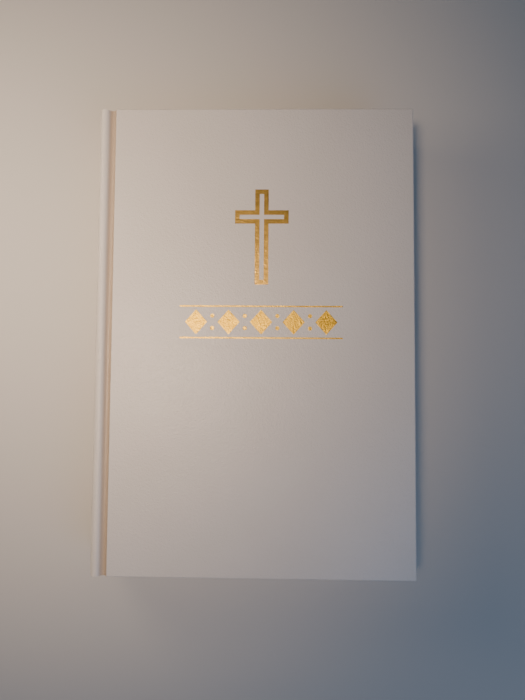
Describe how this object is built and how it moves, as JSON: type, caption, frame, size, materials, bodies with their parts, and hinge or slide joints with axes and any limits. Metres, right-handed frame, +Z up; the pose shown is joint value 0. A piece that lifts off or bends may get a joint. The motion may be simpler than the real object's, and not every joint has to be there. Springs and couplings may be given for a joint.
{
  "type": "bible",
  "caption": "Case-bound bible with a white leatherette case, grooved joints, rounded sewn text block, endpapers, head and tail bands, and a stamped gold cross.",
  "frame": {"origin": "centre of the underside's bounding box, on the back cover's outer face", "axes": "+Z up through the front cover, +Y towards the head of the book, -X towards the spine"},
  "size_m": [0.1626, 0.234, 0.0327],
  "materials": {
    "leatherette": "fine embossed grain, soft sheen",
    "gold_foil": "hot-stamped gold foil",
    "grey_board": "raw grey board",
    "card": "raw card",
    "endpaper": "matte wove",
    "bible_paper": "thin matte",
    "gauze": "open weave",
    "band": "silk, striped",
    "thread": "waxed"
  },
  "bodies": {
    "text_block": {"signature_05": "bible_paper", "signature_06": "bible_paper", "signature_07": "bible_paper", "signature_08": "bible_paper", "signature_09": "bible_paper", "signature_10": "bible_paper", "signature_11": "bible_paper", "signature_12": "bible_paper", "signature_13": "bible_paper", "signature_14": "bible_paper", "signature_15": "bible_paper", "signature_16": "bible_paper", "signature_17": "bible_paper", "signature_18": "bible_paper", "signature_19": "bible_paper", "signature_20": "bible_paper", "signature_21": "bible_paper", "signature_22": "bible_paper", "signature_23": "bible_paper", "signature_24": "bible_paper", "signature_25": "bible_paper", "signature_26": "bible_paper", "signature_27": "bible_paper", "signature_28": "bible_paper", "signature_29": "bible_paper", "signature_30": "bible_paper", "signature_31": "bible_paper", "signature_32": "bible_paper", "sewing_threads": "thread", "mull": "gauze", "spine_liner": "card", "headband": "band", "tailband": "band", "spine_inlay": "card", "spine_skin": "leatherette", "front_joint": "leatherette", "back_joint": "leatherette"},
    "front_cover": {"front_board": "grey_board", "front_cover_skin": "leatherette", "front_pastedown": "endpaper", "foil_cross": "gold_foil", "foil_ornament": "gold_foil"},
    "back_cover": {"back_board": "grey_board", "back_cover_skin": "leatherette", "back_pastedown": "endpaper"},
    "front_leaf": {"front_flyleaf": "endpaper"},
    "back_leaf": {"back_flyleaf": "endpaper"},
    "section_01": {"signature_01": "bible_paper"},
    "section_02": {"signature_02": "bible_paper"},
    "section_03": {"signature_03": "bible_paper"},
    "section_04": {"signature_04": "bible_paper"}
  },
  "joints": [
    {"name": "front_cover_hinge", "type": "hinge", "parent": "text_block", "child": "front_cover", "pos_m": [-0.07673, 0, 0.02945], "axis": [0, -1, 0], "range_deg": [0, 178], "deforming": ["front_joint"]},
    {"name": "back_cover_hinge", "type": "hinge", "parent": "text_block", "child": "back_cover", "pos_m": [-0.07673, 0, 0.00325], "axis": [0, 1, 0], "range_deg": [0, 178], "deforming": ["back_joint"]},
    {"name": "front_leaf_turn", "type": "hinge", "parent": "text_block", "child": "front_leaf", "pos_m": [-0.07673, 0, 0.02945], "axis": [0, -1, 0], "range_deg": [0, 180]},
    {"name": "back_leaf_turn", "type": "hinge", "parent": "text_block", "child": "back_leaf", "pos_m": [-0.07673, 0, 0.00325], "axis": [0, 1, 0], "range_deg": [0, 180]},
    {"name": "section_01_turn", "type": "hinge", "parent": "text_block", "child": "section_01", "pos_m": [-0.07673, 0, 0.02945], "axis": [0, -1, 0], "range_deg": [0, 180]},
    {"name": "section_02_turn", "type": "hinge", "parent": "text_block", "child": "section_02", "pos_m": [-0.07673, 0, 0.02945], "axis": [0, -1, 0], "range_deg": [0, 180]},
    {"name": "section_03_turn", "type": "hinge", "parent": "text_block", "child": "section_03", "pos_m": [-0.07673, 0, 0.02945], "axis": [0, -1, 0], "range_deg": [0, 180]},
    {"name": "section_04_turn", "type": "hinge", "parent": "text_block", "child": "section_04", "pos_m": [-0.07673, 0, 0.02945], "axis": [0, -1, 0], "range_deg": [0, 180]}
  ],
  "couplings": [
    {"joint": "front_leaf_turn", "follows": "front_cover_hinge", "ratio": 0.94},
    {"joint": "back_leaf_turn", "follows": "back_cover_hinge", "ratio": 0.985},
    {"joint": "section_01_turn", "follows": "front_cover_hinge", "ratio": 0.8},
    {"joint": "section_02_turn", "follows": "front_cover_hinge", "ratio": 0.62},
    {"joint": "section_03_turn", "follows": "front_cover_hinge", "ratio": 0.42},
    {"joint": "section_04_turn", "follows": "front_cover_hinge", "ratio": 0.2}
  ]
}
